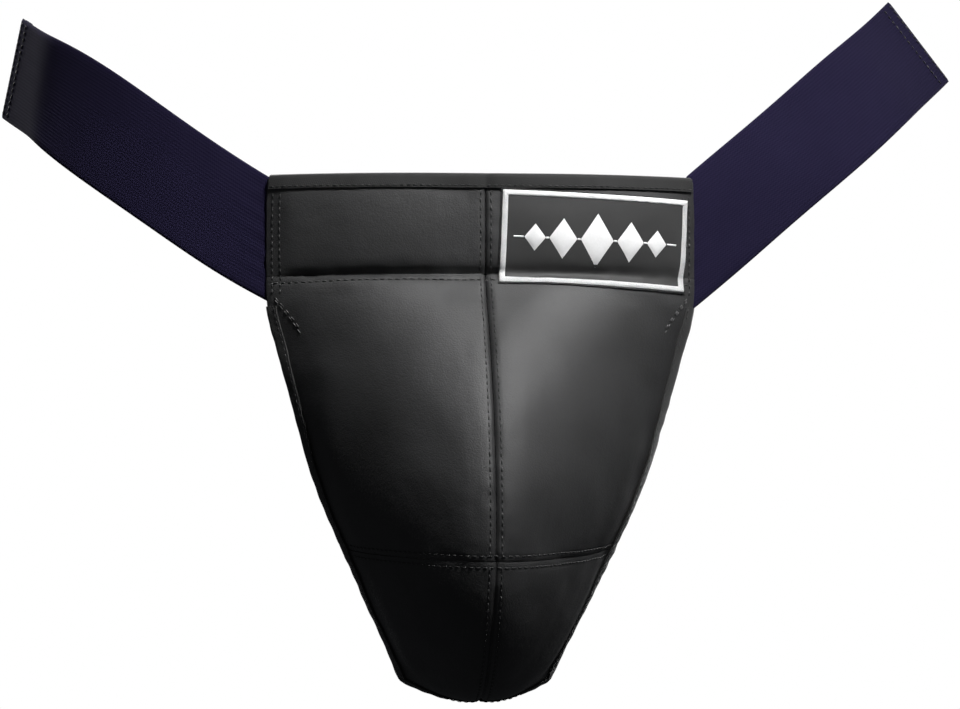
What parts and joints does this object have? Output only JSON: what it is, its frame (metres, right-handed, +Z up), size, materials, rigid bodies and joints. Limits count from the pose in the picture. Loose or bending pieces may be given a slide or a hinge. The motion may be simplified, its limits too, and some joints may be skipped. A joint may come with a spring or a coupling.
{
  "type": "groin protector",
  "caption": "Padded black leather groin protector over a hard cup, with a wide elastic waistband that opens at the back and elastic leg straps.",
  "frame": {"origin": "the centre of the flat face of the lining that lies against the wearer's lower abdomen, half way up the waist section", "axes": "+Z up as worn, -Y out of the front of the shell, +X towards the wearer's left"},
  "size_m": [0.4734, 0.1845, 0.3428],
  "materials": {
    "shell_leather": "fine-grain coated leather, semi-gloss",
    "binding_tape": "woven binding tape, matt",
    "band_elastic": "brushed woven elastic, matt",
    "eva_foam": null,
    "cup_plastic": "moulded, satin",
    "gasket_rubber": "soft rubber",
    "lining_knit": "knitted lining, matt",
    "label_ground": "woven label",
    "label_thread": "raised white thread",
    "hook_tape": "hook side of hook-and-loop tape"
  },
  "bodies": {
    "shell": {"waist_facing_left": "shell_leather", "waist_facing_right": "shell_leather", "front_panel_left": "shell_leather", "front_panel_right": "shell_leather", "crotch_panel": "shell_leather", "waist_foam": "eva_foam", "front_foam": "eva_foam", "lining": "lining_knit", "cup_shell": "cup_plastic", "cup_gasket": "gasket_rubber", "top_binding": "binding_tape", "side_binding_left": "binding_tape", "side_binding_right": "binding_tape", "bottom_binding": "binding_tape", "label_patch": "label_ground", "label_border": "label_thread", "label_emblem": "label_thread", "leg_strap_left": "band_elastic", "leg_strap_right": "band_elastic"},
    "wing_left": {"wing_elastic_left": "band_elastic", "hook_tab": "hook_tape"},
    "wing_right": {"wing_elastic_right": "band_elastic", "end_hem_right": "band_elastic"}
  },
  "joints": [
    {"name": "wing_left_fold", "type": "hinge", "parent": "shell", "child": "wing_left", "pos_m": [0.0991, 0.0128, -0.0046], "axis": [0, 0, 1], "range_deg": [-60, 70], "stiffness_Nm_per_rad": 0.02},
    {"name": "wing_right_fold", "type": "hinge", "parent": "shell", "child": "wing_right", "pos_m": [-0.0991, 0.0128, -0.0046], "axis": [0, 0, -1], "range_deg": [-60, 70], "stiffness_Nm_per_rad": 0.02}
  ]
}
